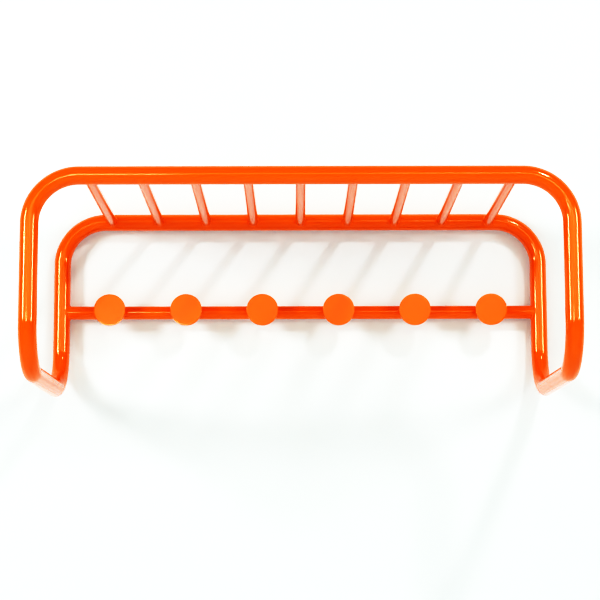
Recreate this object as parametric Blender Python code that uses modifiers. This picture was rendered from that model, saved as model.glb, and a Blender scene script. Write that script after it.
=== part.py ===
"""Wall-mounted hat and coat rack of bent steel tube.

Two bent hoops form one closed loop. Nine rods between their top rails make the
hat shelf, and a coat rail between the back legs carries six disc knobs.

Units are metres and +Z is up. The wall is the plane y = 0 and the rack stands
in front of it, towards -Y. The origin is on the wall, at mid-width and at the
height of the top rails' centre lines.
"""

import math

import bmesh
import bpy
from mathutils import Matrix, Vector

# Overall sizes
OVERALL_WIDTH = 0.600
OVERALL_HEIGHT = 0.228
HOOP_SPACING = 0.280  # back rail to front rail, centre to centre

# Main tube
TUBE_RADIUS = 0.010
TUBE_WALL = 0.0015
BEND_RADIUS = 0.0525  # to the tube's centre line
BEND_STEPS = 8

# Shelf rods
ROD_COUNT = 9
ROD_RADIUS = 0.006
ROD_WALL = 0.0012
ROD_INSET = 0.0083  # outermost rods to the ends of the rails' straight run

# Coat rail
RAIL_RADIUS = 0.008
RAIL_WALL = 0.0015
RAIL_RISE = 0.0965  # bottom runs to coat rail, centre to centre

# Knobs
KNOB_COUNT = 6
KNOB_INSET = 0.06075  # outermost knobs to the legs' centre lines
KNOB_RADIUS = 0.019
KNOB_THICKNESS = 0.005
KNOB_EDGE = 0.0008
KNOB_REACH = 0.029  # coat rail's centre line to the disc's face
KNOB_EDGE_STEPS = 2
PIN_RADIUS = 0.005
PIN_TIP_RADIUS = 0.0035
PIN_TIP_LENGTH = 0.0025
PIN_TAIL = 0.001  # how far the pin reaches past the coat rail's front wall
PIN_CHAMFER = 0.0005

# Joint sleeves, inside the bottom runs
SLEEVE_LENGTH = 0.040
SLEEVE_WALL = 0.0015

# Keyhole hanger plates
HANGER_INSET = 0.0375  # plates' centres to the ends of the rail's straight run
HANGER_WIDTH = 0.044
HANGER_THICKNESS = 0.0025
HANGER_TOP = 0.0115
HANGER_BOTTOM = -0.008
HANGER_CORNER = 0.003
KEYHOLE_ENTRY_RADIUS = 0.00425
KEYHOLE_SLOT_RADIUS = 0.00225
KEYHOLE_ENTRY_Z = -0.0025
KEYHOLE_SLOT_Z = 0.0060
POCKET_MARGIN = 0.00125  # room around the screw head in the rail
POCKET_DEPTH = 0.0037

# Wall pads
PAD_RADIUS = 0.006
PAD_GRIP = 0.002  # how far the pad's seat wraps forward round the leg
PAD_RISE = 0.0105  # pad's centre above the lower end of the leg's straight run

# Gap left between pieces that touch or are welded
GAP = 0.0003

# Facets
TUBE_BEVEL = 6  # 16 sides
ROD_BEVEL = 4  # 12 sides
KNOB_SIDES = 24
PIN_SIDES = 16
ARC_STEPS = 12

# Derived places
HALF_WIDTH = OVERALL_WIDTH / 2 - TUBE_RADIUS
BOTTOM_Z = -(OVERALL_HEIGHT - 2 * TUBE_RADIUS)
BACK_Y = -(HANGER_THICKNESS + GAP + TUBE_RADIUS)
FRONT_Y = BACK_Y - HOOP_SPACING
JOINT_Y = (BACK_Y + FRONT_Y) / 2
RAIL_Z = BOTTOM_Z + RAIL_RISE
PAD_Z = BOTTOM_Z + BEND_RADIUS + PAD_RISE
HALF_STRAIGHT = HALF_WIDTH - BEND_RADIUS
ROD_HALF_SPREAD = HALF_STRAIGHT - ROD_INSET
KNOB_HALF_SPREAD = HALF_WIDTH - KNOB_INSET
HANGER_HALF_SPREAD = HALF_STRAIGHT - HANGER_INSET

ORANGE = (1.0, 0.105, 0.003, 1.0)
BARE_STEEL = (0.42, 0.41, 0.40, 1.0)
DARK_RUBBER = (0.03, 0.03, 0.03, 1.0)


def clear_scene():
    for obj in list(bpy.data.objects):
        bpy.data.objects.remove(obj, do_unlink=True)


def make_collection(name):
    collection = bpy.data.collections.new(name)
    bpy.context.scene.collection.children.link(collection)
    return collection


def make_material(name, colour, roughness, metallic):
    material = bpy.data.materials.new(name)
    material.use_nodes = True
    shader = material.node_tree.nodes["Principled BSDF"]
    shader.inputs["Base Color"].default_value = colour
    shader.inputs["Roughness"].default_value = roughness
    shader.inputs["Metallic"].default_value = metallic
    material.diffuse_color = colour
    return material


def bent_path(corners, radius, steps):
    """Points along straight runs joined by round bends at the inner corners."""
    points = [Vector(corners[0])]
    for before, corner, after in zip(corners, corners[1:], corners[2:]):
        corner = Vector(corner)
        into = (corner - Vector(before)).normalized()
        out = (Vector(after) - corner).normalized()
        turn = into.angle(out)
        trim = radius * math.tan(turn / 2)
        centre = corner - into * trim + (out - into * into.dot(out)).normalized() * radius
        start = corner - into * trim - centre
        axis = into.cross(out).normalized()
        for step in range(steps + 1):
            spin = Matrix.Rotation(turn * step / steps, 3, axis)
            points.append(centre + spin @ start)
    points.append(Vector(corners[-1]))
    return points


def add_curve(name, points, radius, bevel, capped, collection):
    """A round bar or an open pipe skin along the points."""
    data = bpy.data.curves.new(name, "CURVE")
    data.dimensions = "3D"
    data.bevel_depth = radius
    data.bevel_resolution = bevel
    data.use_fill_caps = capped
    spline = data.splines.new("POLY")
    spline.points.add(len(points) - 1)
    for point, place in zip(spline.points, points):
        point.co = (*place, 1.0)
    obj = bpy.data.objects.new(name, data)
    collection.objects.link(obj)
    return obj


def curve_to_mesh(obj, collection):
    """Replace a curve object by a welded mesh object of the same shape."""
    bpy.context.view_layer.update()
    graph = bpy.context.evaluated_depsgraph_get()
    mesh = bpy.data.meshes.new_from_object(obj.evaluated_get(graph))
    name = obj.name
    matrix = obj.matrix_world.copy()
    bpy.data.objects.remove(obj, do_unlink=True)
    weld_and_face_out(mesh)
    mesh.name = name
    solid = bpy.data.objects.new(name, mesh)
    solid.matrix_world = matrix
    collection.objects.link(solid)
    return solid


def weld_and_face_out(mesh):
    shape = bmesh.new()
    shape.from_mesh(mesh)
    bmesh.ops.remove_doubles(shape, verts=shape.verts, dist=0.00001)
    bmesh.ops.recalc_face_normals(shape, faces=shape.faces)
    shape.to_mesh(mesh)
    shape.free()


def smooth(obj, angle=35.0):
    obj.data.shade_smooth()
    obj.data.set_sharp_from_angle(angle=math.radians(angle))


def add_pipe(name, points, radius, wall, bevel, collection, material):
    """A hollow tube, open at both ends."""
    skin = add_curve(name, points, radius, bevel, False, collection)
    pipe = curve_to_mesh(skin, collection)
    smooth(pipe)
    thicken = pipe.modifiers.new("wall", "SOLIDIFY")
    thicken.thickness = wall
    thicken.offset = -1.0
    thicken.use_even_offset = True
    pipe.data.materials.clear()
    pipe.data.materials.append(material)
    return pipe


def add_cutter(obj):
    obj.hide_render = True
    obj.display_type = "WIRE"
    return obj


def add_round_cutter(name, start, end, radius, bevel, collection):
    bar = add_curve(name, [Vector(start), Vector(end)], radius, bevel, True, collection)
    return add_cutter(curve_to_mesh(bar, collection))


def add_box_cutter(name, low, high, collection):
    mesh = bpy.data.meshes.new(name)
    shape = bmesh.new()
    size = [top - bottom for bottom, top in zip(low, high)]
    middle = [(top + bottom) / 2 for bottom, top in zip(low, high)]
    place = Matrix.Translation(middle) @ Matrix.Diagonal((*size, 1.0))
    bmesh.ops.create_cube(shape, size=1.0, matrix=place)
    shape.to_mesh(mesh)
    shape.free()
    obj = bpy.data.objects.new(name, mesh)
    collection.objects.link(obj)
    return add_cutter(obj)


def cut(obj, cutter):
    boolean = obj.modifiers.new("cut " + cutter.name, "BOOLEAN")
    boolean.operation = "DIFFERENCE"
    boolean.object = cutter


def apply_modifiers(obj):
    bpy.context.view_layer.update()
    graph = bpy.context.evaluated_depsgraph_get()
    mesh = bpy.data.meshes.new_from_object(obj.evaluated_get(graph))
    obj.modifiers.clear()
    obj.data = mesh


def spread(count, half):
    """Even places along X from -half to +half."""
    return [half * (2 * index / (count - 1) - 1) for index in range(count)]


def hoop_corners(rail_y, joint_y):
    return [
        (-HALF_WIDTH, joint_y, BOTTOM_Z),
        (-HALF_WIDTH, rail_y, BOTTOM_Z),
        (-HALF_WIDTH, rail_y, 0.0),
        (HALF_WIDTH, rail_y, 0.0),
        (HALF_WIDTH, rail_y, BOTTOM_Z),
        (HALF_WIDTH, joint_y, BOTTOM_Z),
    ]


def build_hoops(parts, cutters, steel):
    """The two bent tubes, which meet in the middle of the bottom runs."""
    front = bent_path(hoop_corners(FRONT_Y, JOINT_Y - GAP / 2), BEND_RADIUS, BEND_STEPS)
    back = bent_path(hoop_corners(BACK_Y, JOINT_Y + GAP / 2), BEND_RADIUS, BEND_STEPS)
    add_pipe("front_hoop", front, TUBE_RADIUS, TUBE_WALL, TUBE_BEVEL, parts, steel)
    hoop = add_pipe("back_hoop", back, TUBE_RADIUS, TUBE_WALL, TUBE_BEVEL, parts, steel)
    half_pocket = KEYHOLE_ENTRY_RADIUS + POCKET_MARGIN
    pocket_y = BACK_Y + TUBE_RADIUS - POCKET_DEPTH
    for side, x in zip(("left", "right"), spread(2, HANGER_HALF_SPREAD)):
        low = (x - half_pocket, pocket_y, -TUBE_RADIUS)
        high = (x + half_pocket, pocket_y + TUBE_RADIUS, TUBE_RADIUS)
        cut(hoop, add_box_cutter("screw_pocket_" + side, low, high, cutters))


def build_sleeves(parts, bare):
    """Short tubes inside the bottom runs that line up the hoops' ends."""
    radius = TUBE_RADIUS - TUBE_WALL - GAP
    for side, x in zip(("left", "right"), spread(2, HALF_WIDTH)):
        start = Vector((x, JOINT_Y - SLEEVE_LENGTH / 2, BOTTOM_Z))
        end = Vector((x, JOINT_Y + SLEEVE_LENGTH / 2, BOTTOM_Z))
        add_pipe("joint_sleeve_" + side, [start, end], radius, SLEEVE_WALL, TUBE_BEVEL, parts, bare)


def build_rods(parts, cutters, steel):
    """Nine tubes whose ends are saddle-cut to the top rails."""
    reach = ROD_RADIUS + ROD_WALL
    saddles = []
    for place, y in (("front", FRONT_Y), ("back", BACK_Y)):
        name = "rod_saddle_" + place
        start = (-reach, y, 0.0)
        saddles.append(add_round_cutter(name, start, (reach, y, 0.0), TUBE_RADIUS + GAP, TUBE_BEVEL, cutters))
    ends = [Vector((0.0, FRONT_Y, 0.0)), Vector((0.0, BACK_Y, 0.0))]
    rod = add_pipe("shelf_rod_1", ends, ROD_RADIUS, ROD_WALL, ROD_BEVEL, parts, steel)
    for saddle in saddles:
        cut(rod, saddle)
    apply_modifiers(rod)
    for index, x in enumerate(spread(ROD_COUNT, ROD_HALF_SPREAD)):
        if index:
            rod = bpy.data.objects.new("shelf_rod_" + str(index + 1), rod.data)
            parts.objects.link(rod)
        rod.location.x = x


def build_coat_rail(parts, cutters, steel):
    """The tube between the back legs, drilled for the knob pins."""
    ends = [Vector((-HALF_WIDTH, BACK_Y, RAIL_Z)), Vector((HALF_WIDTH, BACK_Y, RAIL_Z))]
    rail = add_pipe("coat_rail", ends, RAIL_RADIUS, RAIL_WALL, TUBE_BEVEL, parts, steel)
    reach = RAIL_RADIUS + RAIL_WALL
    for side, x in zip(("left", "right"), spread(2, HALF_WIDTH)):
        low = (x, BACK_Y, RAIL_Z - reach)
        high = (x, BACK_Y, RAIL_Z + reach)
        cut(rail, add_round_cutter("rail_saddle_" + side, low, high, TUBE_RADIUS + GAP, TUBE_BEVEL, cutters))
    for index, x in enumerate(spread(KNOB_COUNT, KNOB_HALF_SPREAD)):
        inner = (x, BACK_Y - pin_tail() + PIN_TAIL, RAIL_Z)
        outer = (x, BACK_Y - 2 * RAIL_RADIUS, RAIL_Z)
        name = "pin_hole_" + str(index + 1)
        cut(rail, add_round_cutter(name, inner, outer, PIN_RADIUS + GAP, TUBE_BEVEL, cutters))


def arc_points(centre, radius, start, end, steps):
    """Points on a circle in a plane, from one angle to another, in radians."""
    points = []
    for step in range(steps + 1):
        angle = start + (end - start) * step / steps
        points.append((centre[0] + radius * math.cos(angle), centre[1] + radius * math.sin(angle)))
    return points


def add_turned(name, profile, steps, parts, material):
    """A turned piece whose own +Z axis points out of the wall."""
    mesh = bpy.data.meshes.new(name)
    shape = bmesh.new()
    ring = [shape.verts.new((radius, 0.0, height)) for radius, height in profile]
    for first, second in zip(ring, ring[1:]):
        shape.edges.new((first, second))
    shape.to_mesh(mesh)
    shape.free()
    mesh.materials.append(material)
    obj = bpy.data.objects.new(name, mesh)
    parts.objects.link(obj)
    screw = obj.modifiers.new("turn", "SCREW")
    screw.axis = "Z"
    screw.steps = steps
    screw.render_steps = steps
    screw.use_merge_vertices = True
    screw.merge_threshold = 0.00001
    screw.use_smooth_shade = True
    obj.rotation_euler = (math.pi / 2, 0.0, 0.0)
    return obj


def disc_profile():
    back = KNOB_REACH - KNOB_THICKNESS
    hole = PIN_TIP_RADIUS + GAP
    hole_end = back + PIN_TIP_LENGTH + GAP
    flat = KNOB_RADIUS - KNOB_EDGE
    front_round = arc_points((flat, KNOB_REACH - KNOB_EDGE), KNOB_EDGE, math.pi / 2, 0.0, KNOB_EDGE_STEPS)
    back_round = arc_points((flat, back + KNOB_EDGE), KNOB_EDGE, 0.0, -math.pi / 2, KNOB_EDGE_STEPS)
    return [(0.0, KNOB_REACH)] + front_round + back_round + [(hole, back), (hole, hole_end), (0.0, hole_end)]


def pin_tail():
    """How far in front of the coat rail's centre line a pin ends."""
    inside = RAIL_RADIUS - RAIL_WALL
    return math.sqrt(inside**2 - PIN_RADIUS**2) - PIN_TAIL


def pin_profile():
    shoulder = KNOB_REACH - KNOB_THICKNESS - GAP
    tip = shoulder + PIN_TIP_LENGTH
    tail = pin_tail()
    return [
        (0.0, tip),
        (PIN_TIP_RADIUS, tip),
        (PIN_TIP_RADIUS, shoulder),
        (PIN_RADIUS, shoulder),
        (PIN_RADIUS, tail + PIN_CHAMFER),
        (PIN_RADIUS - PIN_CHAMFER, tail),
        (0.0, tail),
    ]


def build_knobs(parts, steel):
    """Six discs, each on a pin that passes through the coat rail's front wall."""
    for index, x in enumerate(spread(KNOB_COUNT, KNOB_HALF_SPREAD)):
        number = str(index + 1)
        disc = add_turned("knob_disc_" + number, disc_profile(), KNOB_SIDES, parts, steel)
        pin = add_turned("knob_pin_" + number, pin_profile(), PIN_SIDES, parts, steel)
        disc.location = (x, BACK_Y, RAIL_Z)
        pin.location = (x, BACK_Y, RAIL_Z)


def plate_outline():
    """A rectangle with round corners, in the plate's own X and Y."""
    half = HANGER_WIDTH / 2 - HANGER_CORNER
    top = HANGER_TOP - HANGER_CORNER
    bottom = HANGER_BOTTOM + HANGER_CORNER
    quarter = math.pi / 2
    points = []
    for turn, centre in enumerate(((half, top), (-half, top), (-half, bottom), (half, bottom))):
        points += arc_points(centre, HANGER_CORNER, turn * quarter, (turn + 1) * quarter, 3)
    return points


def keyhole_outline():
    """A round entry with a narrower slot above it."""
    entry = (0.0, KEYHOLE_ENTRY_Z)
    neck = math.acos(KEYHOLE_SLOT_RADIUS / KEYHOLE_ENTRY_RADIUS)
    big = arc_points(entry, KEYHOLE_ENTRY_RADIUS, math.pi - neck, 2 * math.pi + neck, ARC_STEPS)
    return big + arc_points((0.0, KEYHOLE_SLOT_Z), KEYHOLE_SLOT_RADIUS, 0.0, math.pi, ARC_STEPS // 2)


def build_hangers(parts, steel):
    """Flat plates behind the back rail, each with a keyhole for a wall screw."""
    for side, x in zip(("left", "right"), spread(2, HANGER_HALF_SPREAD)):
        name = "hanger_plate_" + side
        data = bpy.data.curves.new(name, "CURVE")
        data.dimensions = "2D"
        data.fill_mode = "BOTH"
        data.extrude = HANGER_THICKNESS / 2
        for outline in (plate_outline(), keyhole_outline()):
            spline = data.splines.new("POLY")
            spline.points.add(len(outline) - 1)
            for point, (across, up) in zip(spline.points, outline):
                point.co = (across, up, 0.0, 1.0)
            spline.use_cyclic_u = True
        sheet = bpy.data.objects.new(name, data)
        parts.objects.link(sheet)
        sheet.rotation_euler = (math.pi / 2, 0.0, 0.0)
        sheet.location = (x, -HANGER_THICKNESS / 2, 0.0)
        plate = curve_to_mesh(sheet, parts)
        plate.data.materials.append(steel)


def build_pads(parts, cutters, rubber):
    """Round pads that keep the lower legs off the wall."""
    front = BACK_Y + TUBE_RADIUS - PAD_GRIP
    for side, x in zip(("left", "right"), spread(2, HALF_WIDTH)):
        ends = [Vector((x, front, PAD_Z)), Vector((x, 0.0, PAD_Z))]
        bar = add_curve("wall_pad_" + side, ends, PAD_RADIUS, TUBE_BEVEL, True, parts)
        pad = curve_to_mesh(bar, parts)
        pad.data.materials.append(rubber)
        low = (x, BACK_Y, PAD_Z - 2 * PAD_RADIUS)
        high = (x, BACK_Y, PAD_Z + 2 * PAD_RADIUS)
        seat = add_round_cutter("pad_seat_" + side, low, high, TUBE_RADIUS + GAP, TUBE_BEVEL, cutters)
        cut(pad, seat)


def main():
    clear_scene()
    parts = make_collection("hat_and_coat_rack")
    cutters = make_collection("cutters")
    steel = make_material("orange_powder_coat", ORANGE, 0.2, 0.0)
    bare = make_material("bare_steel", BARE_STEEL, 0.4, 1.0)
    rubber = make_material("dark_rubber", DARK_RUBBER, 0.8, 0.0)
    build_hoops(parts, cutters, steel)
    build_sleeves(parts, bare)
    build_rods(parts, cutters, steel)
    build_coat_rail(parts, cutters, steel)
    build_knobs(parts, steel)
    build_hangers(parts, steel)
    build_pads(parts, cutters, rubber)


main()
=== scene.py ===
"""Visible model of the wall-mounted hat and coat rack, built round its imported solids."""

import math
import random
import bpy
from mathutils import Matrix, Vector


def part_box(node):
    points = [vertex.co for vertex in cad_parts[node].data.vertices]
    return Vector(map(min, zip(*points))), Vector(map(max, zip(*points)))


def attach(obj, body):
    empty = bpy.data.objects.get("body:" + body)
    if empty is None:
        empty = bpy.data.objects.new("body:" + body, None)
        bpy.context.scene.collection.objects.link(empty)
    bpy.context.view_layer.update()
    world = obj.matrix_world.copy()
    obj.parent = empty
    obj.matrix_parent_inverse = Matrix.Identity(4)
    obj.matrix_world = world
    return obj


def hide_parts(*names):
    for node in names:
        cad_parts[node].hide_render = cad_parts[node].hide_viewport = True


bl_info = {
    "name": "Tubular Hat and Coat Rack",
    "version": (1, 0, 0),
    "blender": (4, 5, 0),
    "location": "View3D > Sidebar > Coat Rack",
    "description": "Builds a wall-mounted hat and coat rack of bent, powder-coated steel tube",
    "category": "Add Mesh",
}

import bmesh
import bpy
from bpy.props import FloatProperty, FloatVectorProperty, IntProperty, PointerProperty
from mathutils import Matrix, Vector

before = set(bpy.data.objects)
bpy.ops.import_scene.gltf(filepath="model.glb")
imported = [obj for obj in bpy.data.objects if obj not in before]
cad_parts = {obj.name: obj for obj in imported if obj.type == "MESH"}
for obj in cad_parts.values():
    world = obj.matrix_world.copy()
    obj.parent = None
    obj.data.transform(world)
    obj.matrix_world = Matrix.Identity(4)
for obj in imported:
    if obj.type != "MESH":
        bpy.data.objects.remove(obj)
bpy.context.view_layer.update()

FRONT_LOW, FRONT_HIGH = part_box("front_hoop")
BACK_LOW, BACK_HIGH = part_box("back_hoop")
RAIL_LOW, RAIL_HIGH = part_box("coat_rail")

# The top rails' centre lines lie at height 0, so the hoop's top is the tube's radius.
TUBE_RADIUS = FRONT_HIGH.z
HALF_WIDTH = FRONT_HIGH.x - TUBE_RADIUS
BOTTOM_Z = FRONT_LOW.z + TUBE_RADIUS
FRONT_Y = FRONT_LOW.y + TUBE_RADIUS
BACK_Y = BACK_HIGH.y - TUBE_RADIUS
JOINT_Y = (FRONT_HIGH.y + BACK_LOW.y) / 2
RAIL_RADIUS = (RAIL_HIGH.z - RAIL_LOW.z) / 2
RAIL_Z = (RAIL_HIGH.z + RAIL_LOW.z) / 2

BODY = "root"
STEEL_SLOT = "orange_powder_coat"

X_AXIS = Vector((1.0, 0.0, 0.0))
Y_AXIS = Vector((0.0, 1.0, 0.0))
Z_AXIS = Vector((0.0, 0.0, 1.0))


class RackShape(bpy.types.PropertyGroup):
    """Sizes of the rack that its solids leave open, and how finely it is built."""

    bend_radius: FloatProperty(
        name="Bend radius",
        description="Radius of the tube bends, to the tube's centre line",
        default=0.0525,
        unit="LENGTH",
    )
    bend_steps: IntProperty(name="Bend steps", description="Rings along each bend", default=40)
    tube_sides: IntProperty(name="Tube sides", description="Points round each tube", default=64)
    tube_wall: FloatProperty(
        name="Tube wall", description="Wall of the main tube", default=0.0015, unit="LENGTH"
    )
    seam_width: FloatProperty(
        name="Seam width",
        description="Width of the ground weld that closes the loop in each bottom run",
        default=0.003,
        unit="LENGTH",
    )
    seam_sink: FloatProperty(
        name="Seam sink",
        description="How far the ground weld lies under the tube's skin",
        default=0.00004,
        unit="LENGTH",
    )
    weld_size: FloatProperty(
        name="Weld size", description="Leg of the fillet welds", default=0.0016, unit="LENGTH"
    )
    weld_ripple: FloatProperty(
        name="Weld ripple", description="Share by which a weld's size wavers", default=0.10
    )
    weld_steps: IntProperty(name="Weld steps", description="Points round each weld", default=72)
    knob_edge: FloatProperty(
        name="Knob edge", description="Rounding of the knobs' rims", default=0.0004, unit="LENGTH"
    )
    knob_sides: IntProperty(name="Knob sides", description="Points round each knob", default=96)


class RackFinish(bpy.types.PropertyGroup):
    """Colours and gloss of the rack's materials."""

    coat_colour: FloatVectorProperty(
        name="Powder coat",
        description="Colour of the powder coat",
        subtype="COLOR",
        size=4,
        default=(0.86, 0.148, 0.003, 1.0),
    )
    coat_deep: FloatVectorProperty(
        name="Powder coat, thin",
        description="Slightly deeper colour where the coat lies thinner",
        subtype="COLOR",
        size=4,
        default=(0.81, 0.134, 0.003, 1.0),
    )
    coat_roughness: FloatProperty(
        name="Coat roughness", description="Roughness of the powder coat", default=0.10
    )
    peel_size: FloatProperty(
        name="Peel size",
        description="Size of the coat's orange-peel waves",
        default=0.0018,
        unit="LENGTH",
    )
    peel_depth: FloatProperty(
        name="Peel depth",
        description="Depth of the coat's orange-peel waves",
        default=0.000004,
        unit="LENGTH",
    )
    rubber_colour: FloatVectorProperty(
        name="Rubber",
        description="Colour of the wall pads",
        subtype="COLOR",
        size=4,
        default=(0.028, 0.028, 0.030, 1.0),
    )
    steel_colour: FloatVectorProperty(
        name="Bare steel",
        description="Colour of the uncoated sleeves inside the tube",
        subtype="COLOR",
        size=4,
        default=(0.42, 0.41, 0.40, 1.0),
    )


class RackStage(bpy.types.PropertyGroup):
    """Camera, lights and surroundings."""

    camera_place: FloatVectorProperty(
        name="Camera place",
        description="Where the camera stands",
        subtype="TRANSLATION",
        size=3,
        default=(-0.00556, -2.18008, -0.39913),
    )
    camera_pitch: FloatProperty(
        name="Camera pitch",
        description="How far the camera looks up",
        subtype="ANGLE",
        default=math.radians(7.963),
    )
    camera_yaw: FloatProperty(
        name="Camera yaw",
        description="How far the camera turns to the right",
        subtype="ANGLE",
        default=math.radians(0.134),
    )
    camera_roll: FloatProperty(
        name="Camera roll",
        description="How far the camera leans, anticlockwise as it looks",
        subtype="ANGLE",
        default=math.radians(-0.136),
    )
    lens: FloatProperty(name="Lens", description="Focal length in millimetres", default=107.8)
    room_light: FloatProperty(
        name="Room light", description="Strength of the light from all round", default=0.28
    )
    room_gloss: FloatProperty(
        name="Room gloss",
        description="Strength of the room as glossy surfaces mirror it",
        default=0.30,
    )
    # The wall's cyan tint is painted correction of light: it cancels the orange light the rack
    # bounces onto the wall, so the shade there comes out grey.
    wall_colour: FloatVectorProperty(
        name="Wall",
        description="Colour of the wall",
        subtype="COLOR",
        size=4,
        default=(0.67, 0.78, 0.80, 1.0),
    )
    wall_glow: FloatProperty(
        name="Wall glow", description="Light that the wall gives off", default=0.08
    )
    wall_sheen: FloatProperty(
        name="Wall sheen", description="Extra light of the wall in reflections", default=0.14
    )
    floor_colour: FloatVectorProperty(
        name="Floor",
        description="Colour of the floor",
        subtype="COLOR",
        size=4,
        default=(0.80, 0.80, 0.79, 1.0),
    )
    floor_glow: FloatProperty(
        name="Floor glow", description="Light that the floor gives off", default=0.28
    )
    floor_drop: FloatProperty(
        name="Floor drop",
        description="Depth of the floor below the top rails",
        default=1.6,
        unit="LENGTH",
    )
    exposure: FloatProperty(
        name="Exposure", description="Exposure of the picture in stops", default=0.04
    )
    tone_lift: FloatProperty(
        name="Tone lift",
        description="Weight of the dark end in the picture's tone curve",
        default=0.4,
    )


# ---------------------------------------------------------------- objects


def place_piece(obj, slot, *nodes):
    """Put a visible piece in the frame: its body and the solids it stands for; slot is not used."""
    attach(obj, BODY)
    if nodes:
        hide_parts(*nodes)
    return obj


# Edges that turn by more degrees than this are shaded sharp.
SMOOTH_ANGLE = 40.0
WELD_SMOOTH_ANGLE = 60.0


def mesh_object(name, shape, material, smooth_angle=SMOOTH_ANGLE):
    """A new object from a bmesh, facing out and shaded smooth."""
    bmesh.ops.recalc_face_normals(shape, faces=shape.faces)
    mesh = bpy.data.meshes.new(name)
    shape.to_mesh(mesh)
    shape.free()
    mesh.shade_smooth()
    mesh.set_sharp_from_angle(angle=math.radians(smooth_angle))
    mesh.materials.append(material)
    obj = bpy.data.objects.new(name, mesh)
    bpy.context.scene.collection.objects.link(obj)
    return obj


def bridge(shape, first, second):
    """Quads between two closed rings of points."""
    for index in range(len(first)):
        after = (index + 1) % len(first)
        shape.faces.new((first[index], first[after], second[after], second[index]))


def ring_angles(count):
    """Even angles once round a circle."""
    return [2 * math.pi * index / count for index in range(count)]


# ---------------------------------------------------------------- tubes


def bent_path(corners, radius, steps):
    """Points along straight runs joined by round bends at the inner corners."""
    points = [Vector(corners[0])]
    for before, corner, after in zip(corners, corners[1:], corners[2:]):
        corner = Vector(corner)
        into = (corner - Vector(before)).normalized()
        out = (Vector(after) - corner).normalized()
        turn = into.angle(out)
        trim = radius * math.tan(turn / 2)
        centre = corner - into * trim + (out - into * into.dot(out)).normalized() * radius
        start = corner - into * trim - centre
        axis = into.cross(out).normalized()
        for step in range(steps + 1):
            points.append(centre + Matrix.Rotation(turn * step / steps, 3, axis) @ start)
    points.append(Vector(corners[-1]))
    return points


def path_rings(shape, points, radius, sides):
    """Rings of points square to the path, turned with it and never twisted."""
    rings = []
    forward = (points[1] - points[0]).normalized()
    across = forward.orthogonal().normalized()
    for index, point in enumerate(points):
        ahead = points[min(index + 1, len(points) - 1)] - points[max(index - 1, 0)]
        ahead.normalize()
        across = (forward.rotation_difference(ahead) @ across).normalized()
        across = (across - ahead * across.dot(ahead)).normalized()
        forward = ahead
        side = forward.cross(across)
        ring = []
        for angle in ring_angles(sides):
            spoke = (across * math.cos(angle) + side * math.sin(angle)) * radius
            ring.append(shape.verts.new(point + spoke))
        rings.append(ring)
    return rings


def hollow_tube(name, points, radius, wall, sides, material):
    """A tube with an inner wall and flat ends."""
    shape = bmesh.new()
    outer = path_rings(shape, points, radius, sides)
    inner = path_rings(shape, points, radius - wall, sides)
    for skin in (outer, inner):
        for first, second in zip(skin, skin[1:]):
            bridge(shape, first, second)
    for end in (0, -1):
        bridge(shape, outer[end], inner[end])
    return mesh_object(name, shape, material)


def hoop_points(rail_y, end_y, settings):
    """Centre line of one hoop, from bottom run to bottom run over the top rail."""
    corners = [
        (-HALF_WIDTH, end_y, BOTTOM_Z),
        (-HALF_WIDTH, rail_y, BOTTOM_Z),
        (-HALF_WIDTH, rail_y, 0.0),
        (HALF_WIDTH, rail_y, 0.0),
        (HALF_WIDTH, rail_y, BOTTOM_Z),
        (HALF_WIDTH, end_y, BOTTOM_Z),
    ]
    return bent_path(corners, settings.bend_radius, settings.bend_steps)


# ---------------------------------------------------------------- branches and welds


class Joint:
    """Where a round branch meets a round host tube square on.

    along points from the host into the branch and host_axis runs along the host.
    """

    def __init__(self, host_centre, host_radius, along, host_axis):
        self.centre = Vector(host_centre)
        self.host_radius = host_radius
        self.along = Vector(along)
        self.host_axis = Vector(host_axis)
        self.side = self.along.cross(self.host_axis)

    def reach(self, radius, angle):
        """Distance from the host's axis to its skin, at a place on a ring round the branch."""
        lateral = radius * math.sin(angle)
        return math.sqrt(max(self.host_radius**2 - lateral**2, 0.0))

    def point(self, radius, angle, out):
        ring = self.host_axis * math.cos(angle) + self.side * math.sin(angle)
        return self.centre + ring * radius + self.along * out


# How far a branch's saddle-cut end reaches under its host's skin
SADDLE_SINK = 0.0003


def add_branch(name, first, second, radius, sides, material):
    """A round tube between two hosts, saddle-cut to both."""
    shape = bmesh.new()
    rings = []
    for joint, sense in ((first, 1.0), (second, -1.0)):
        ring = []
        for angle in ring_angles(sides):
            out = joint.reach(radius, sense * angle) - SADDLE_SINK
            ring.append(shape.verts.new(joint.point(radius, sense * angle, out)))
        rings.append(ring)
    bridge(shape, rings[0], rings[1])
    for ring in rings:
        shape.faces.new(ring)
    return mesh_object(name, shape, material)


# A weld's bead: points along its hollow curve, how far its edges reach under the tubes, how deep
# its hidden root lies, how full the curve is and the least share of its size that fits.
FILLET_STEPS = 7
FILLET_SINK = 0.00015
FILLET_ROOT = 3 * FILLET_SINK
FILLET_FULLNESS = 0.25
FILLET_LEAST = 0.2
# The share of the host's radius that a bead may spread across
HOST_SHARE = 0.97
# Waves round a bead that make its size waver
RIPPLE_COUNTS = (3, 7, 19)


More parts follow.
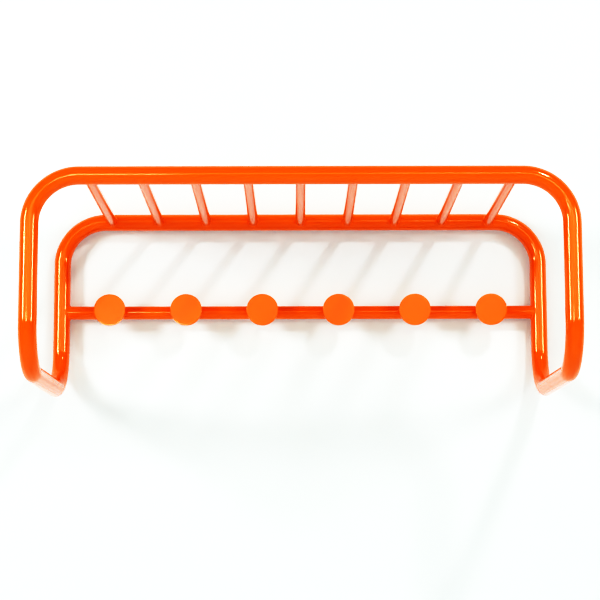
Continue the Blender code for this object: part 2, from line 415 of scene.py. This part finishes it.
def fillet_ring(shape, joint, radius, settings, seed):
    """A closed concave bead round the foot of a branch."""
    size = settings.weld_size
    rng = random.Random(seed)
    waves = [
        (count, rng.uniform(0.0, 2 * math.pi), rng.uniform(0.5, 1.0)) for count in RIPPLE_COUNTS
    ]
    sections = []
    for angle in ring_angles(settings.weld_steps):
        waver = sum(weight * math.sin(count * angle + phase) for count, phase, weight in waves)
        leg = size * (1.0 + settings.weld_ripple * waver / len(waves))
        room = joint.host_radius * HOST_SHARE / max(abs(math.sin(angle)), 0.001) - radius
        spread = min(leg, max(room, size * FILLET_LEAST))
        foot = joint.reach(radius, angle)
        host = joint.reach(radius + spread, angle)
        inset = FILLET_FULLNESS * leg
        on_branch = joint.point(radius - FILLET_SINK, angle, foot + leg)
        on_host = joint.point(radius + spread, angle, host - FILLET_SINK)
        corner = joint.point(radius + inset, angle, foot + inset)
        section = []
        for step in range(FILLET_STEPS + 1):
            t = step / FILLET_STEPS
            place = on_branch * (1 - t) ** 2 + corner * 2 * t * (1 - t) + on_host * t**2
            section.append(shape.verts.new(place))
        root = joint.point(radius - FILLET_ROOT, angle, foot - FILLET_ROOT)
        section.append(shape.verts.new(root))
        sections.append(section)
    for index, section in enumerate(sections):
        bridge(shape, section, sections[(index + 1) % len(sections)])


def add_weld(name, joints, radius, settings, material, seed):
    """One piece of weld metal with a bead at each joint."""
    shape = bmesh.new()
    for offset, joint in enumerate(joints):
        fillet_ring(shape, joint, radius, settings, seed + offset)
    return mesh_object(name, shape, material, WELD_SMOOTH_ANGLE)


# ---------------------------------------------------------------- turned pieces


EDGE_STEPS = 8


def arc(centre, radius, start, end):
    """Points of a profile along a round edge."""
    points = []
    for step in range(EDGE_STEPS + 1):
        angle = start + (end - start) * step / EDGE_STEPS
        points.append((centre[0] + radius * math.cos(angle), centre[1] + radius * math.sin(angle)))
    return points


def turned(name, profile, centre, sides, material):
    """A profile of (radius, distance out of the wall) turned round an axis along -Y."""
    shape = bmesh.new()
    rings = []
    for radius, out in profile:
        ring = []
        if radius <= 0.0:
            ring.append(shape.verts.new(centre + Vector((0.0, -out, 0.0))))
        else:
            for angle in ring_angles(sides):
                spoke = Vector((radius * math.cos(angle), -out, radius * math.sin(angle)))
                ring.append(shape.verts.new(centre + spoke))
        rings.append(ring)
    for first, second in zip(rings, rings[1:]):
        if len(first) == 1:
            for index in range(sides):
                shape.faces.new((first[0], second[index], second[(index + 1) % sides]))
        elif len(second) == 1:
            for index in range(sides):
                shape.faces.new((second[0], first[index], first[(index + 1) % sides]))
        else:
            bridge(shape, first, second)
    return mesh_object(name, shape, material)


# ---------------------------------------------------------------- materials


# The Mix node's sockets by number, because their names repeat from one data type to the next
MIX_FACTOR = 0
FLOAT_A, FLOAT_B, FLOAT_RESULT = 2, 3, 0
COLOUR_A, COLOUR_B, COLOUR_RESULT = 6, 7, 2

WHITE = (1.0, 1.0, 1.0, 1.0)
COAT_TINT = (1.0, 0.92, 0.70, 1.0)


def new_group(name, inputs, outputs):
    """An empty node group with its sockets."""
    group = bpy.data.node_groups.new(name, "ShaderNodeTree")
    for label, kind, default in inputs:
        socket = group.interface.new_socket(label, in_out="INPUT", socket_type=kind)
        socket.default_value = default
    for label, kind in outputs:
        group.interface.new_socket(label, in_out="OUTPUT", socket_type=kind)
    return group, group.nodes.new("NodeGroupInput"), group.nodes.new("NodeGroupOutput")


def surface_grain_group():
    """Fine waves, fine grain and slow drifts that every finish here is made of."""
    name = "surface_grain"
    if name in bpy.data.node_groups:
        return bpy.data.node_groups[name]
    inputs = [
        ("Wave Size", "NodeSocketFloat", 0.002),
        ("Grain Size", "NodeSocketFloat", 0.0004),
        ("Drift Size", "NodeSocketFloat", 0.08),
        ("Grain Share", "NodeSocketFloat", 0.2),
    ]
    outputs = [(label, "NodeSocketFloat") for label in ("Height", "Grain", "Drift")]
    group, source, sink = new_group(name, inputs, outputs)
    link = group.links.new
    place = group.nodes.new("ShaderNodeTexCoord")
    noises = {}
    for label, detail in (("Wave Size", 1.0), ("Grain Size", 2.0), ("Drift Size", 3.0)):
        scale = group.nodes.new("ShaderNodeMath")
        scale.operation = "DIVIDE"
        scale.inputs[0].default_value = 1.0
        link(source.outputs[label], scale.inputs[1])
        noise = group.nodes.new("ShaderNodeTexNoise")
        noise.inputs["Detail"].default_value = detail
        link(place.outputs["Object"], noise.inputs["Vector"])
        link(scale.outputs[0], noise.inputs["Scale"])
        noises[label] = noise
    mix = group.nodes.new("ShaderNodeMix")
    link(source.outputs["Grain Share"], mix.inputs[MIX_FACTOR])
    link(noises["Wave Size"].outputs[0], mix.inputs[FLOAT_A])
    link(noises["Grain Size"].outputs[0], mix.inputs[FLOAT_B])
    link(mix.outputs[FLOAT_RESULT], sink.inputs["Height"])
    link(noises["Grain Size"].outputs[0], sink.inputs["Grain"])
    link(noises["Drift Size"].outputs[0], sink.inputs["Drift"])
    return group


def new_material(name):
    """A material with its node tree and its Principled shader."""
    material = bpy.data.materials.new(name)
    material.use_nodes = True
    tree = material.node_tree
    return material, tree, tree.nodes["Principled BSDF"]


def finish_material(name, colour, deep, roughness, spread, wave, grain, drift, grain_share, depth):
    """A Principled material whose tone, gloss and relief vary a little over the surface."""
    if name in bpy.data.materials:
        return bpy.data.materials[name]
    material, tree, shader = new_material(name)
    link = tree.links.new
    skin = tree.nodes.new("ShaderNodeGroup")
    skin.node_tree = surface_grain_group()
    skin.inputs["Wave Size"].default_value = wave
    skin.inputs["Grain Size"].default_value = grain
    skin.inputs["Drift Size"].default_value = drift
    skin.inputs["Grain Share"].default_value = grain_share
    tone = tree.nodes.new("ShaderNodeMix")
    tone.data_type = "RGBA"
    tone.inputs[COLOUR_A].default_value = deep
    tone.inputs[COLOUR_B].default_value = colour
    link(skin.outputs["Drift"], tone.inputs[MIX_FACTOR])
    link(tone.outputs[COLOUR_RESULT], shader.inputs["Base Color"])
    gloss = tree.nodes.new("ShaderNodeMapRange")
    gloss.inputs["To Min"].default_value = roughness - spread
    gloss.inputs["To Max"].default_value = roughness + spread
    link(skin.outputs["Grain"], gloss.inputs["Value"])
    link(gloss.outputs["Result"], shader.inputs["Roughness"])
    relief = tree.nodes.new("ShaderNodeBump")
    relief.inputs["Strength"].default_value = 1.0
    relief.inputs["Distance"].default_value = depth
    link(skin.outputs["Height"], relief.inputs["Height"])
    link(relief.outputs["Normal"], shader.inputs["Normal"])
    return material


def powder_coat():
    """Glossy orange powder coat with a clear, slightly wavy skin."""
    finish = bpy.context.scene.rack_finish
    material = finish_material(
        "powder_coat_orange",
        colour=finish.coat_colour,
        deep=finish.coat_deep,
        roughness=finish.coat_roughness,
        spread=0.02,
        wave=finish.peel_size,
        grain=0.0004,
        drift=0.09,
        grain_share=0.08,
        depth=finish.peel_depth,
    )
    shader = material.node_tree.nodes["Principled BSDF"]
    shader.inputs["Specular Tint"].default_value = COAT_TINT
    return material


def scaled(colour, factor):
    """A colour made lighter or darker."""
    return tuple(channel * factor for channel in colour[:3]) + (1.0,)


def rubber():
    """Dull, slightly rough rubber."""
    colour = bpy.context.scene.rack_finish.rubber_colour
    return finish_material(
        "pad_rubber",
        colour=scaled(colour, 1.6),
        deep=colour,
        roughness=0.75,
        spread=0.1,
        wave=0.0012,
        grain=0.0003,
        drift=0.02,
        grain_share=0.6,
        depth=0.00004,
    )


def bare_steel():
    """Drawn steel without a coat."""
    colour = bpy.context.scene.rack_finish.steel_colour
    material = finish_material(
        "sleeve_steel",
        colour=colour,
        deep=scaled(colour, 0.8),
        roughness=0.38,
        spread=0.1,
        wave=0.0015,
        grain=0.0002,
        drift=0.02,
        grain_share=0.6,
        depth=0.00001,
    )
    material.node_tree.nodes["Principled BSDF"].inputs["Metallic"].default_value = 1.0
    return material


# ---------------------------------------------------------------- operators


# Seeds for the waver of each weld. A rod's two welds use its seed and the next one.
ROD_SEED_STEP = 10
RAIL_SEED = 200
KNOB_SEED = 300

# A ring on each face of a knob, this many rim radii inside its outline, keeps the face flat.
FACE_MARGIN = 3


class RACK_OT_tube_loop(bpy.types.Operator):
    """Build the front and back hoops and the ground welds that join them"""

    bl_idname = "rack.tube_loop"
    bl_label = "Tube Loop"

    def execute(self, context):
        settings = context.scene.rack_shape
        coat = powder_coat()
        half_seam = settings.seam_width / 2
        front = hoop_points(FRONT_Y, JOINT_Y - half_seam, settings)
        back = hoop_points(BACK_Y, JOINT_Y + half_seam, settings)
        wall, sides = settings.tube_wall, settings.tube_sides
        hoop = hollow_tube("hoop_front", front, TUBE_RADIUS, wall, sides, coat)
        place_piece(hoop, STEEL_SLOT, "front_hoop")
        hoop = hollow_tube("hoop_back", back, TUBE_RADIUS, wall, sides, coat)
        place_piece(hoop, STEEL_SLOT, "back_hoop")
        for side, x in (("left", -HALF_WIDTH), ("right", HALF_WIDTH)):
            ends = [Vector((x, JOINT_Y + sense * half_seam, BOTTOM_Z)) for sense in (-1, 1)]
            radius = TUBE_RADIUS - settings.seam_sink
            seam = hollow_tube("seam_weld_" + side, ends, radius, wall, sides, coat)
            place_piece(seam, STEEL_SLOT)
        return {"FINISHED"}


class RACK_OT_shelf_rods(bpy.types.Operator):
    """Build the shelf rods between the top rails, with their welds"""

    bl_idname = "rack.shelf_rods"
    bl_label = "Shelf Rods"

    def execute(self, context):
        settings = context.scene.rack_shape
        coat = powder_coat()
        names = sorted(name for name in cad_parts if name.startswith("shelf_rod_"))
        for index, name in enumerate(names):
            low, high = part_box(name)
            x, radius = (low.x + high.x) / 2, (high.x - low.x) / 2
            front = Joint((x, FRONT_Y, 0.0), TUBE_RADIUS, Y_AXIS, X_AXIS)
            back = Joint((x, BACK_Y, 0.0), TUBE_RADIUS, -Y_AXIS, X_AXIS)
            rod = add_branch(name + "_tube", front, back, radius, settings.tube_sides, coat)
            place_piece(rod, STEEL_SLOT, name)
            seed = ROD_SEED_STEP * index
            weld = add_weld(name + "_welds", (front, back), radius, settings, coat, seed)
            place_piece(weld, STEEL_SLOT)
        return {"FINISHED"}


class RACK_OT_coat_rail(bpy.types.Operator):
    """Build the coat rail between the back legs, with its welds"""

    bl_idname = "rack.coat_rail"
    bl_label = "Coat Rail"

    def execute(self, context):
        settings = context.scene.rack_shape
        coat = powder_coat()
        left = Joint((-HALF_WIDTH, BACK_Y, RAIL_Z), TUBE_RADIUS, X_AXIS, Z_AXIS)
        right = Joint((HALF_WIDTH, BACK_Y, RAIL_Z), TUBE_RADIUS, -X_AXIS, Z_AXIS)
        rail = add_branch("coat_rail_tube", left, right, RAIL_RADIUS, settings.tube_sides, coat)
        place_piece(rail, STEEL_SLOT, "coat_rail")
        weld = add_weld("coat_rail_welds", (left, right), RAIL_RADIUS, settings, coat, RAIL_SEED)
        place_piece(weld, STEEL_SLOT)
        return {"FINISHED"}


class RACK_OT_knobs(bpy.types.Operator):
    """Build the six disc knobs on their pins, with their welds"""

    bl_idname = "rack.knobs"
    bl_label = "Knobs"

    def execute(self, context):
        settings = context.scene.rack_shape
        coat = powder_coat()
        edge = settings.knob_edge
        numbers = sorted(name[-1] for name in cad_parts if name.startswith("knob_disc_"))
        for index, number in enumerate(numbers):
            low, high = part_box("knob_disc_" + number)
            pin_low, pin_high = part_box("knob_pin_" + number)
            centre = Vector(((low.x + high.x) / 2, 0.0, (low.z + high.z) / 2))
            radius, pin = (high.x - low.x) / 2, (pin_high.x - pin_low.x) / 2
            face, back = -low.y, -high.y
            profile = [(0.0, face), (radius - FACE_MARGIN * edge, face)]
            profile += arc((radius - edge, face - edge), edge, math.pi / 2, 0.0)
            profile += arc((radius - edge, back + edge), edge, 0.0, -math.pi / 2)
            profile += [(radius - FACE_MARGIN * edge, back), (0.0, back)]
            disc = turned("knob_face_" + number, profile, centre, settings.knob_sides, coat)
            place_piece(disc, STEEL_SLOT, "knob_disc_" + number)
            joint = Joint((centre.x, BACK_Y, centre.z), RAIL_RADIUS, -Y_AXIS, X_AXIS)
            shank = pin_shank("knob_shank_" + number, joint, pin, back, settings, coat)
            place_piece(shank, STEEL_SLOT, "knob_pin_" + number)
            seed = KNOB_SEED + index
            weld = add_weld("knob_weld_" + number, (joint,), pin, settings, coat, seed)
            place_piece(weld, STEEL_SLOT)
        return {"FINISHED"}


def pin_shank(name, joint, radius, back, settings, material):
    """The pin between the coat rail and a disc, flared where the weld meets the disc."""
    flare = settings.weld_size
    inner = -joint.centre.y
    profile = [(0.0, inner), (radius, inner)]
    profile += arc((radius + flare, back - flare), flare, math.pi, math.pi / 2)
    profile.append((0.0, back))
    centre = Vector((joint.centre.x, 0.0, joint.centre.z))
    return turned(name, profile, centre, settings.tube_sides, material)


class RACK_OT_wall_fixings(bpy.types.Operator):
    """Finish the hanger plates, the wall pads and the hidden sleeves"""

    bl_idname = "rack.wall_fixings"
    bl_label = "Wall Fixings"

    def execute(self, context):
        finishes = {
            "hanger_plate_": powder_coat(),
            "wall_pad_": rubber(),
            "joint_sleeve_": bare_steel(),
        }
        for name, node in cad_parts.items():
            for start, material in finishes.items():
                if name.startswith(start):
                    node.data.materials.clear()
                    node.data.materials.append(material)
        return {"FINISHED"}


class RACK_OT_stage(bpy.types.Operator):
    """Set up the wall, the floor, the lights and the camera"""

    bl_idname = "rack.stage"
    bl_label = "Stage"

    def execute(self, context):
        settings = context.scene.rack_stage
        add_wall(settings)
        add_floor(settings)
        add_lights()
        add_world(settings)
        add_camera(settings)
        return {"FINISHED"}


WALL_WIDTH, WALL_HEIGHT = 7.0, 5.0
WALL_GAP = 0.0003
FLOOR_HALF = 6.0


def stage_plane(name, corners, material):
    """A flat piece of the surroundings."""
    shape = bmesh.new()
    shape.faces.new([shape.verts.new(corner) for corner in corners])
    mesh = bpy.data.meshes.new(name)
    shape.to_mesh(mesh)
    shape.free()
    mesh.materials.append(material)
    obj = bpy.data.objects.new(name, mesh)
    bpy.context.scene.collection.objects.link(obj)


def clear_from_behind(tree, shader):
    """Make a stage plane see-through from its back, so that it never hides the rack."""
    clear = tree.nodes.new("ShaderNodeBsdfTransparent")
    side = tree.nodes.new("ShaderNodeNewGeometry")
    choose = tree.nodes.new("ShaderNodeMixShader")
    output = tree.nodes["Material Output"]
    tree.links.new(side.outputs["Backfacing"], choose.inputs[0])
    tree.links.new(shader.outputs[0], choose.inputs[1])
    tree.links.new(clear.outputs[0], choose.inputs[2])
    tree.links.new(choose.outputs[0], output.inputs["Surface"])


def add_wall(settings):
    """A white wall behind the rack."""
    half, y = WALL_WIDTH / 2, WALL_GAP
    bottom = -settings.floor_drop
    top = bottom + WALL_HEIGHT
    corners = [(-half, y, bottom), (half, y, bottom), (half, y, top), (-half, y, top)]
    material, tree, shader = new_material("wall_paint")
    shader.inputs["Base Color"].default_value = settings.wall_colour
    shader.inputs["Roughness"].default_value = 0.9
    shader.inputs["Specular IOR Level"].default_value = 0.1
    shader.inputs["Emission Color"].default_value = WHITE
    ray = tree.nodes.new("ShaderNodeLightPath")
    glow = tree.nodes.new("ShaderNodeMath")
    glow.operation = "MULTIPLY_ADD"
    tree.links.new(ray.outputs["Is Glossy Ray"], glow.inputs[0])
    glow.inputs[1].default_value = settings.wall_sheen
    glow.inputs[2].default_value = settings.wall_glow
    tree.links.new(glow.outputs[0], shader.inputs["Emission Strength"])
    clear_from_behind(tree, shader)
    stage_plane("wall", corners, material)


def add_floor(settings):
    """A pale floor under the rack."""
    half, z = FLOOR_HALF, -settings.floor_drop
    corners = [(-half, -half, z), (half, -half, z), (half, half, z), (-half, half, z)]
    material, tree, shader = new_material("floor_paint")
    shader.inputs["Base Color"].default_value = settings.floor_colour
    shader.inputs["Roughness"].default_value = 0.7
    shader.inputs["Emission Color"].default_value = WHITE
    shader.inputs["Emission Strength"].default_value = settings.floor_glow
    clear_from_behind(tree, shader)
    stage_plane("floor", corners, material)


WARM, SOFT_WARM, PLAIN = (1.0, 0.84, 0.55), (1.0, 0.96, 0.90), (1.0, 0.98, 0.96)

# Name, place of the middle, width, height, radiance, colour and reach of each light, in metres.
# A glossy reach shows only in reflections, a diffuse reach only lights surfaces, and all does both.
SOFTBOXES = (
    ("strip_left", (-1.48, -1.30, 0.24), 0.32, 0.50, 30.0, SOFT_WARM, "glossy"),
    ("strip_right", (1.70, -1.48, 0.28), 0.38, 0.60, 24.0, SOFT_WARM, "glossy"),
    ("glint_left", (-0.54, -2.60, 0.00), 0.50, 0.20, 18.0, SOFT_WARM, "glossy"),
    ("glint_right", (0.42, -2.60, 0.46), 0.50, 0.12, 7.0, SOFT_WARM, "glossy"),
    ("front_band", (0.0, -2.75, 0.32), 4.2, 0.50, 2.2, WARM, "all"),
    ("wash_left", (-1.48, -1.30, 0.24), 0.32, 0.50, 25.0, PLAIN, "diffuse"),
    ("wash_right", (1.70, -1.48, 0.28), 0.38, 0.60, 12.0, PLAIN, "diffuse"),
    ("key_right", (1.015, -1.95, 1.47), 0.26, 0.26, 66.0, PLAIN, "all"),
)


def add_lights():
    """Softboxes that stand in front of the wall and face the rack."""
    aim = Vector((0.0, (FRONT_Y + BACK_Y) / 2, BOTTOM_Z / 2))
    for name, place, width, height, radiance, colour, reach in SOFTBOXES:
        data = bpy.data.lights.new(name, "AREA")
        data.shape = "RECTANGLE"
        data.size, data.size_y = width, height
        data.energy = radiance * math.pi * width * height
        data.color = colour
        lamp = bpy.data.objects.new(name, data)
        lamp.location = place
        lamp.rotation_euler = (lamp.location - aim).to_track_quat("Z", "Y").to_euler()
        lamp.visible_camera = False
        lamp.visible_diffuse = reach != "glossy"
        lamp.visible_glossy = reach != "diffuse"
        bpy.context.scene.collection.objects.link(lamp)


# Strength of the room where the camera sees past the wall
BACKDROP = 0.96


def add_world(settings):
    """Even light from all round, a dimmer room for reflections and a pale backdrop for the eye."""
    world = bpy.data.worlds.new("studio")
    world.use_nodes = True
    tree = world.node_tree
    room = tree.nodes["Background"]
    room.inputs["Color"].default_value = WHITE
    room.inputs["Strength"].default_value = settings.room_light
    last = room
    path = tree.nodes.new("ShaderNodeLightPath")
    for ray, strength in (("Is Glossy Ray", settings.room_gloss), ("Is Camera Ray", BACKDROP)):
        seen = tree.nodes.new("ShaderNodeBackground")
        seen.inputs["Color"].default_value = WHITE
        seen.inputs["Strength"].default_value = strength
        choose = tree.nodes.new("ShaderNodeMixShader")
        tree.links.new(path.outputs[ray], choose.inputs[0])
        tree.links.new(last.outputs[0], choose.inputs[1])
        tree.links.new(seen.outputs[0], choose.inputs[2])
        last = choose
    tree.links.new(last.outputs[0], tree.nodes["World Output"].inputs["Surface"])
    bpy.context.scene.world = world


# The view settings' curves are red, green, blue and then the one for all three.
ALL_CHANNELS = 3
TONE_LEVELS = (0.03, 0.06, 0.1, 0.15, 0.2, 0.3, 0.4, 0.5, 0.6, 0.8)


def tone(level, lift):
    """An S curve that deepens the dark tones and lightens the pale ones."""
    return level**2 / (level**2 + lift * (1 - level) ** 2)


def add_camera(settings):
    """The camera, and how its picture is developed."""
    data = bpy.data.cameras.new("camera")
    data.lens = settings.lens
    data.sensor_width = 36.0
    camera = bpy.data.objects.new("camera", data)
    turn = Matrix.Rotation(-settings.camera_yaw, 4, "Z")
    tilt = Matrix.Rotation(math.pi / 2 + settings.camera_pitch, 4, "X")
    lean = Matrix.Rotation(settings.camera_roll, 4, "Z")
    camera.matrix_world = Matrix.Translation(settings.camera_place) @ turn @ tilt @ lean
    scene = bpy.context.scene
    scene.collection.objects.link(camera)
    scene.camera = camera
    scene.view_settings.view_transform = "Standard"
    scene.view_settings.exposure = settings.exposure
    scene.view_settings.use_curve_mapping = True
    mapping = scene.view_settings.curve_mapping
    for level in TONE_LEVELS:
        mapping.curves[ALL_CHANNELS].points.new(level, tone(level, settings.tone_lift))
    mapping.update()


# ---------------------------------------------------------------- add-on


class RACK_PT_panel(bpy.types.Panel):
    """Lists the steps that build the rack"""

    bl_idname = "RACK_PT_panel"
    bl_label = "Coat Rack"
    bl_space_type = "VIEW_3D"
    bl_region_type = "UI"
    bl_category = "Coat Rack"

    def draw(self, context):
        for step in STEPS:
            self.layout.operator(step.bl_idname)
        scene = context.scene
        for settings in (scene.rack_shape, scene.rack_finish, scene.rack_stage):
            box = self.layout.box()
            for name in settings.__annotations__:
                box.prop(settings, name)


STEPS = (
    RACK_OT_tube_loop,
    RACK_OT_shelf_rods,
    RACK_OT_coat_rail,
    RACK_OT_knobs,
    RACK_OT_wall_fixings,
    RACK_OT_stage,
)
CLASSES = (RackShape, RackFinish, RackStage) + STEPS + (RACK_PT_panel,)


def register():
    for cls in CLASSES:
        bpy.utils.register_class(cls)
    bpy.types.Scene.rack_shape = PointerProperty(type=RackShape)
    bpy.types.Scene.rack_finish = PointerProperty(type=RackFinish)
    bpy.types.Scene.rack_stage = PointerProperty(type=RackStage)


def unregister():
    del bpy.types.Scene.rack_stage
    del bpy.types.Scene.rack_finish
    del bpy.types.Scene.rack_shape
    for cls in reversed(CLASSES):
        bpy.utils.unregister_class(cls)


def main():
    register()
    bpy.ops.rack.tube_loop()
    bpy.ops.rack.shelf_rods()
    bpy.ops.rack.coat_rail()
    bpy.ops.rack.knobs()
    bpy.ops.rack.wall_fixings()
    bpy.ops.rack.stage()


if __name__ == "__main__":
    main()
